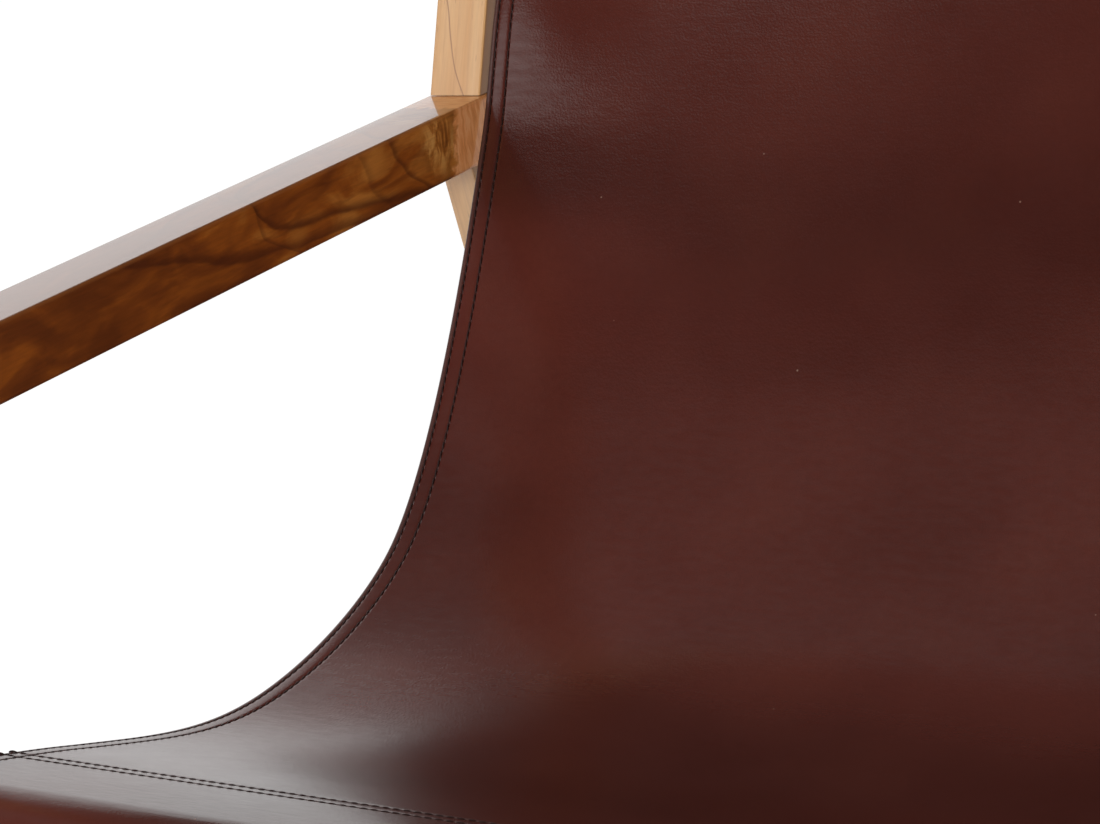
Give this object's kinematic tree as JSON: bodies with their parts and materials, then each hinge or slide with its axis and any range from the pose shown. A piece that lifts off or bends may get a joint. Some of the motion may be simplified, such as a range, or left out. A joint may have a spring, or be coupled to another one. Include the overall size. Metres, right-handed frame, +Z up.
{
  "type": "leather sling lounge chair",
  "caption": "Low lounge chair: a leather sling hung between two rails, in a lacquered timber frame with straight arms, raked legs and leaning back posts.",
  "frame": {"origin": "on the floor, in the middle of the chair's width and depth", "axes": "+X towards the right side of a front view, which is the sitter's left; +Y towards the back of the chair; +Z up. Left and right in node and mount names are those of a front view."},
  "size_m": [0.64, 0.6888, 0.7728],
  "materials": {
    "figured_timber": "gloss lacquer over dark-figured hardwood",
    "pale_timber": "gloss lacquer over pale straight-grained hardwood",
    "leather": "smooth waxed saddle leather, satin",
    "dowel_beech": "bare",
    "nylon": "moulded nylon",
    "black_steel": "black oxide",
    "zinc_steel": "zinc plated"
  },
  "bodies": {
    "root": {"arm_left": "figured_timber", "arm_right": "figured_timber", "back_post_left": "pale_timber", "back_post_right": "pale_timber", "rear_leg_left": "pale_timber", "rear_leg_right": "pale_timber", "front_leg_left": "pale_timber", "front_leg_right": "pale_timber", "side_stretcher_left": "pale_timber", "side_stretcher_right": "pale_timber", "rear_stretcher": "pale_timber", "top_rail": "pale_timber", "front_rail": "pale_timber", "leather_sling": "leather", "arm_dowel_left_1": "dowel_beech", "arm_dowel_left_2": "dowel_beech", "arm_dowel_right_1": "dowel_beech", "arm_dowel_right_2": "dowel_beech", "front_glide_left": "nylon", "front_glide_right": "nylon", "rear_glide_left": "nylon", "rear_glide_right": "nylon", "top_rail_bolt_left": "black_steel", "top_rail_bolt_right": "black_steel", "front_rail_bolt_left": "black_steel", "front_rail_bolt_right": "black_steel", "rear_stretcher_bolt_left": "black_steel", "rear_stretcher_bolt_right": "black_steel", "top_rail_washer_left": "zinc_steel", "top_rail_washer_right": "zinc_steel", "front_rail_washer_left": "zinc_steel", "front_rail_washer_right": "zinc_steel", "rear_stretcher_washer_left": "zinc_steel", "rear_stretcher_washer_right": "zinc_steel", "top_rail_barrel_nut_left": "zinc_steel", "top_rail_barrel_nut_right": "zinc_steel", "front_rail_barrel_nut_left": "zinc_steel", "front_rail_barrel_nut_right": "zinc_steel", "rear_stretcher_barrel_nut_left": "zinc_steel", "rear_stretcher_barrel_nut_right": "zinc_steel"}
  },
  "joints": []
}
